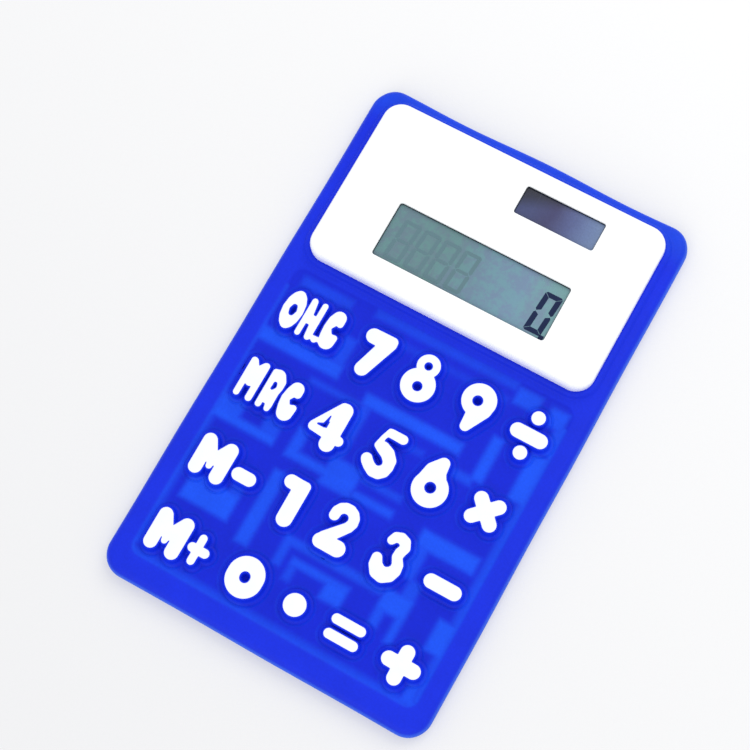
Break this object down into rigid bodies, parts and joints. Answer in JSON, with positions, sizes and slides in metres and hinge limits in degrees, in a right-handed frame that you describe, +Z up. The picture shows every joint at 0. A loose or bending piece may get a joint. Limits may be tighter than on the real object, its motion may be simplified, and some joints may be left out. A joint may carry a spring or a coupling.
{
  "type": "pocket calculator",
  "caption": "Flexible pocket calculator with a soft blue silicone keypad of raised keys and a hard white head holding a liquid crystal display and a solar cell.",
  "frame": {"origin": "centre of the footprint, on the surface the calculator lies on", "axes": "+X across the width to the right as the keys are read, +Y along the length towards the display, +Z up out of the keys"},
  "size_m": [0.072, 0.115, 0.008],
  "materials": {
    "white_plastic": "moulded ABS with soft gloss",
    "blue_silicone": "translucent satin silicone",
    "key_silicone": "translucent silicone with white printed character on top",
    "lcd_glass": "reflective liquid crystal panel under polariser",
    "reflector_foil": "matt",
    "conductive_rubber": "layered black and grey elastomer",
    "circuit_board": "solder mask over copper tracks",
    "black_epoxy": "satin droplet",
    "solar_glass": "amorphous silicon on glass",
    "wire_red": "soft insulation",
    "wire_black": "soft insulation",
    "contact_spring": "nickel plated",
    "cell_steel": "nickel plated",
    "screw_steel": "zinc plated",
    "membrane_film": "polyester film with printed tracks"
  },
  "bodies": {
    "head": {"display_bezel": "white_plastic", "rear_housing": "white_plastic", "silicone_collar": "blue_silicone", "lcd_glass": "lcd_glass", "lcd_reflector": "reflector_foil", "lcd_zebra_strip": "conductive_rubber", "tail_zebra_strip": "conductive_rubber", "circuit_board": "circuit_board", "chip_blob": "black_epoxy", "solar_cell": "solar_glass", "solar_lead_positive": "wire_red", "solar_lead_negative": "wire_black", "cell_contact_negative": "contact_spring", "cell_contact_positive": "contact_spring", "housing_screw_1": "screw_steel", "housing_screw_2": "screw_steel", "housing_screw_3": "screw_steel", "housing_screw_4": "screw_steel", "membrane_circuit": "membrane_film", "fold_web_1": "blue_silicone"},
    "row_1": {"row_1_top_skin": "blue_silicone", "row_1_back_skin": "blue_silicone", "fold_web_2": "blue_silicone"},
    "row_2": {"row_2_top_skin": "blue_silicone", "row_2_back_skin": "blue_silicone", "fold_web_3": "blue_silicone"},
    "row_3": {"row_3_top_skin": "blue_silicone", "row_3_back_skin": "blue_silicone", "fold_web_4": "blue_silicone"},
    "row_4": {"row_4_top_skin": "blue_silicone", "row_4_back_skin": "blue_silicone"},
    "key_on_c": {"key_on_c": "key_silicone"},
    "key_7": {"key_7": "key_silicone"},
    "key_8": {"key_8": "key_silicone"},
    "key_9": {"key_9": "key_silicone"},
    "key_divide": {"key_divide": "key_silicone"},
    "key_mrc": {"key_mrc": "key_silicone"},
    "key_4": {"key_4": "key_silicone"},
    "key_5": {"key_5": "key_silicone"},
    "key_6": {"key_6": "key_silicone"},
    "key_multiply": {"key_multiply": "key_silicone"},
    "key_m_minus": {"key_m_minus": "key_silicone"},
    "key_1": {"key_1": "key_silicone"},
    "key_2": {"key_2": "key_silicone"},
    "key_3": {"key_3": "key_silicone"},
    "key_subtract": {"key_subtract": "key_silicone"},
    "key_m_plus": {"key_m_plus": "key_silicone"},
    "key_0": {"key_0": "key_silicone"},
    "key_point": {"key_point": "key_silicone"},
    "key_equals": {"key_equals": "key_silicone"},
    "key_add": {"key_add": "key_silicone"},
    "battery_door": {"battery_door": "white_plastic"},
    "battery_door_screw": {"battery_door_screw": "screw_steel"},
    "button_cell": {"button_cell": "cell_steel"}
  },
  "joints": [
    {"name": "keypad_flex_1", "type": "hinge", "parent": "head", "child": "row_1", "pos_m": [0, 0.01337, 0.002], "axis": [-1, 0, 0], "range_deg": [-45, 30], "stiffness_Nm_per_rad": 0.12, "deforming": ["fold_web_1", "membrane_circuit"]},
    {"name": "keypad_flex_2", "type": "hinge", "parent": "row_1", "child": "row_2", "pos_m": [0, -0.00357, 0.002], "axis": [-1, 0, 0], "range_deg": [-45, 30], "stiffness_Nm_per_rad": 0.12, "deforming": ["fold_web_2"]},
    {"name": "keypad_flex_3", "type": "hinge", "parent": "row_2", "child": "row_3", "pos_m": [0, -0.02049, 0.002], "axis": [-1, 0, 0], "range_deg": [-45, 30], "stiffness_Nm_per_rad": 0.12, "deforming": ["fold_web_3"]},
    {"name": "keypad_flex_4", "type": "hinge", "parent": "row_3", "child": "row_4", "pos_m": [0, -0.03742, 0.002], "axis": [-1, 0, 0], "range_deg": [-45, 30], "stiffness_Nm_per_rad": 0.12, "deforming": ["fold_web_4"]},
    {"name": "key_on_c_press", "type": "slide", "parent": "row_1", "child": "key_on_c", "axis": [0, 0, -1], "range_m": [0, 0.0006], "stiffness_N_per_m": 2000},
    {"name": "key_7_press", "type": "slide", "parent": "row_1", "child": "key_7", "axis": [0, 0, -1], "range_m": [0, 0.0006], "stiffness_N_per_m": 2000},
    {"name": "key_8_press", "type": "slide", "parent": "row_1", "child": "key_8", "axis": [0, 0, -1], "range_m": [0, 0.0006], "stiffness_N_per_m": 2000},
    {"name": "key_9_press", "type": "slide", "parent": "row_1", "child": "key_9", "axis": [0, 0, -1], "range_m": [0, 0.0006], "stiffness_N_per_m": 2000},
    {"name": "key_divide_press", "type": "slide", "parent": "row_1", "child": "key_divide", "axis": [0, 0, -1], "range_m": [0, 0.0006], "stiffness_N_per_m": 2000},
    {"name": "key_mrc_press", "type": "slide", "parent": "row_2", "child": "key_mrc", "axis": [0, 0, -1], "range_m": [0, 0.0006], "stiffness_N_per_m": 2000},
    {"name": "key_4_press", "type": "slide", "parent": "row_2", "child": "key_4", "axis": [0, 0, -1], "range_m": [0, 0.0006], "stiffness_N_per_m": 2000},
    {"name": "key_5_press", "type": "slide", "parent": "row_2", "child": "key_5", "axis": [0, 0, -1], "range_m": [0, 0.0006], "stiffness_N_per_m": 2000},
    {"name": "key_6_press", "type": "slide", "parent": "row_2", "child": "key_6", "axis": [0, 0, -1], "range_m": [0, 0.0006], "stiffness_N_per_m": 2000},
    {"name": "key_multiply_press", "type": "slide", "parent": "row_2", "child": "key_multiply", "axis": [0, 0, -1], "range_m": [0, 0.0006], "stiffness_N_per_m": 2000},
    {"name": "key_m_minus_press", "type": "slide", "parent": "row_3", "child": "key_m_minus", "axis": [0, 0, -1], "range_m": [0, 0.0006], "stiffness_N_per_m": 2000},
    {"name": "key_1_press", "type": "slide", "parent": "row_3", "child": "key_1", "axis": [0, 0, -1], "range_m": [0, 0.0006], "stiffness_N_per_m": 2000},
    {"name": "key_2_press", "type": "slide", "parent": "row_3", "child": "key_2", "axis": [0, 0, -1], "range_m": [0, 0.0006], "stiffness_N_per_m": 2000},
    {"name": "key_3_press", "type": "slide", "parent": "row_3", "child": "key_3", "axis": [0, 0, -1], "range_m": [0, 0.0006], "stiffness_N_per_m": 2000},
    {"name": "key_subtract_press", "type": "slide", "parent": "row_3", "child": "key_subtract", "axis": [0, 0, -1], "range_m": [0, 0.0006], "stiffness_N_per_m": 2000},
    {"name": "key_m_plus_press", "type": "slide", "parent": "row_4", "child": "key_m_plus", "axis": [0, 0, -1], "range_m": [0, 0.0006], "stiffness_N_per_m": 2000},
    {"name": "key_0_press", "type": "slide", "parent": "row_4", "child": "key_0", "axis": [0, 0, -1], "range_m": [0, 0.0006], "stiffness_N_per_m": 2000},
    {"name": "key_point_press", "type": "slide", "parent": "row_4", "child": "key_point", "axis": [0, 0, -1], "range_m": [0, 0.0006], "stiffness_N_per_m": 2000},
    {"name": "key_equals_press", "type": "slide", "parent": "row_4", "child": "key_equals", "axis": [0, 0, -1], "range_m": [0, 0.0006], "stiffness_N_per_m": 2000},
    {"name": "key_add_press", "type": "slide", "parent": "row_4", "child": "key_add", "axis": [0, 0, -1], "range_m": [0, 0.0006], "stiffness_N_per_m": 2000},
    {"name": "battery_door_release", "type": "slide", "parent": "head", "child": "battery_door", "axis": [0, 0, -1], "range_m": [0, 0.008]},
    {"name": "battery_door_screw_release", "type": "slide", "parent": "battery_door", "child": "battery_door_screw", "axis": [0, 0, -1], "range_m": [0, 0.003]},
    {"name": "button_cell_release", "type": "slide", "parent": "head", "child": "button_cell", "axis": [0, 0, -1], "range_m": [0, 0.008]}
  ],
  "couplings": [
    {"joint": "keypad_flex_2", "follows": "keypad_flex_1", "ratio": 1},
    {"joint": "keypad_flex_3", "follows": "keypad_flex_1", "ratio": 1},
    {"joint": "keypad_flex_4", "follows": "keypad_flex_1", "ratio": 1},
    {"joint": "button_cell_release", "follows": "battery_door_release", "ratio": 1}
  ]
}
